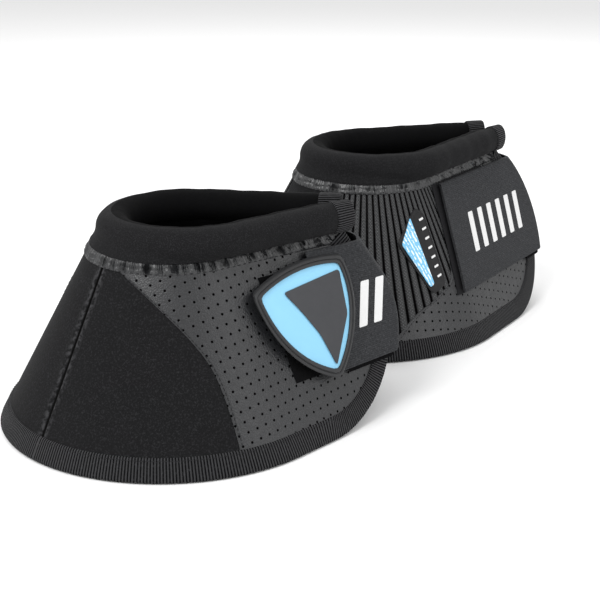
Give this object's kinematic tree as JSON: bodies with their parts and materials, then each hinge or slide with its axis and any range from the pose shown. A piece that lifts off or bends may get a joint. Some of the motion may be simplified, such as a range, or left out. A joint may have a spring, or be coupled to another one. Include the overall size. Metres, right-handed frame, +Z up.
{
  "type": "over-reach boots",
  "caption": "Pair of flared over-reach (bell) boots for a horse, each with a padded pastern collar and an elastic strap that closes round the heel.",
  "frame": {"origin": "on the floor, under the middle of the bounding box of the pair", "axes": "+Z up, +X from the toes towards the heels of the nearer (left) boot, +Y towards the right boot"},
  "size_m": [0.3256, 0.3594, 0.1136],
  "materials": {
    "lining_knit": "smooth black knit",
    "neoprene": "matte closed-cell foam",
    "ribbed_carbon_knit": "raised slanted ribs",
    "plain_panel": "matte, finely speckled",
    "perforated_leather": "satin, small punched holes",
    "webbing": "ribbed across its width",
    "collar_jersey": "fine jersey",
    "strap_base_patch": "matte black, stitched",
    "strap_elastic": "fine heathered knit elastic",
    "hook_and_loop": "hook and loop tape",
    "badge_rubber": "satin moulded rubber",
    "badge_inlay": "satin pale blue",
    "badge_emblem": "satin moulded rubber",
    "label_rubber": "matte black with a thin outline",
    "label_stripe": "blue and white stripes"
  },
  "bodies": {
    "left_boot": {"left_inner_lining": "lining_knit", "left_inner_foam": "neoprene", "left_inner_toe_panel": "plain_panel", "left_ribbed_panel": "ribbed_carbon_knit", "left_inner_perforated_panel": "perforated_leather", "left_inner_welt": "perforated_leather", "left_inner_binding": "webbing", "left_inner_collar": "collar_jersey", "left_inner_collar_tab": "webbing", "left_strap_base_patch": "strap_base_patch", "left_strap_base": "strap_elastic", "left_label_patch": "label_rubber", "left_label_stripe": "label_stripe"},
    "left_flap": {"left_outer_lining": "lining_knit", "left_outer_foam": "neoprene", "left_toe_panel": "plain_panel", "left_outer_perforated_panel": "perforated_leather", "left_outer_welt": "perforated_leather", "left_outer_binding": "webbing", "left_outer_collar": "collar_jersey", "left_outer_collar_tab": "webbing", "left_loop_patch": "hook_and_loop"},
    "left_strap": {"left_strap_heel_span": "strap_elastic", "left_strap_heel_backing": "hook_and_loop", "left_strap_tip": "strap_elastic", "left_hook_patch": "hook_and_loop", "left_badge_frame": "badge_rubber", "left_badge_inlay": "badge_inlay", "left_badge_emblem": "badge_emblem"},
    "right_boot": {"right_inner_lining": "lining_knit", "right_inner_foam": "neoprene", "right_inner_toe_panel": "plain_panel", "right_ribbed_panel": "ribbed_carbon_knit", "right_inner_perforated_panel": "perforated_leather", "right_inner_welt": "perforated_leather", "right_inner_binding": "webbing", "right_inner_collar": "collar_jersey", "right_inner_collar_tab": "webbing", "right_strap_base_patch": "strap_base_patch", "right_strap_base": "strap_elastic", "right_label_patch": "label_rubber", "right_label_stripe": "label_stripe"},
    "right_flap": {"right_outer_lining": "lining_knit", "right_outer_foam": "neoprene", "right_toe_panel": "plain_panel", "right_outer_perforated_panel": "perforated_leather", "right_outer_welt": "perforated_leather", "right_outer_binding": "webbing", "right_outer_collar": "collar_jersey", "right_outer_collar_tab": "webbing", "right_loop_patch": "hook_and_loop"},
    "right_strap": {"right_strap_heel_span": "strap_elastic", "right_strap_heel_backing": "hook_and_loop", "right_strap_tip": "strap_elastic", "right_hook_patch": "hook_and_loop", "right_badge_frame": "badge_rubber", "right_badge_inlay": "badge_inlay", "right_badge_emblem": "badge_emblem"}
  },
  "joints": [
    {"name": "left_flap_open", "type": "hinge", "parent": "left_boot", "child": "left_flap", "pos_m": [-0.13544, -0.15331, 0], "axis": [-0.332, -0.3255, -0.8853], "range_deg": [0, 8.5]},
    {"name": "left_strap_peel", "type": "hinge", "parent": "left_boot", "child": "left_strap", "pos_m": [0.0172, -0.02437, 0.0305], "axis": [-0.2023, -0.3246, 0.924], "range_deg": [0, 95], "deforming": ["left_strap_heel_span", "left_strap_heel_backing"]},
    {"name": "right_flap_open", "type": "hinge", "parent": "right_boot", "child": "right_flap", "pos_m": [-0.05473, 0.06417, 0], "axis": [0.4613, 0.058, 0.8853], "range_deg": [0, 8.5]},
    {"name": "right_strap_peel", "type": "hinge", "parent": "right_boot", "child": "right_strap", "pos_m": [0.15205, 0.09921, 0.0305], "axis": [0.3494, -0.2481, -0.9035], "range_deg": [0, 95], "deforming": ["right_strap_heel_span", "right_strap_heel_backing"]},
    {"name": "right_boot_lift", "type": "slide", "parent": "left_boot", "child": "right_boot", "axis": [0, 0, 1], "range_m": [0, 0.15]}
  ],
  "couplings": [
    {"joint": "left_strap_peel", "follows": "left_flap_open", "ratio": 11.1},
    {"joint": "right_strap_peel", "follows": "right_flap_open", "ratio": 11.1}
  ]
}
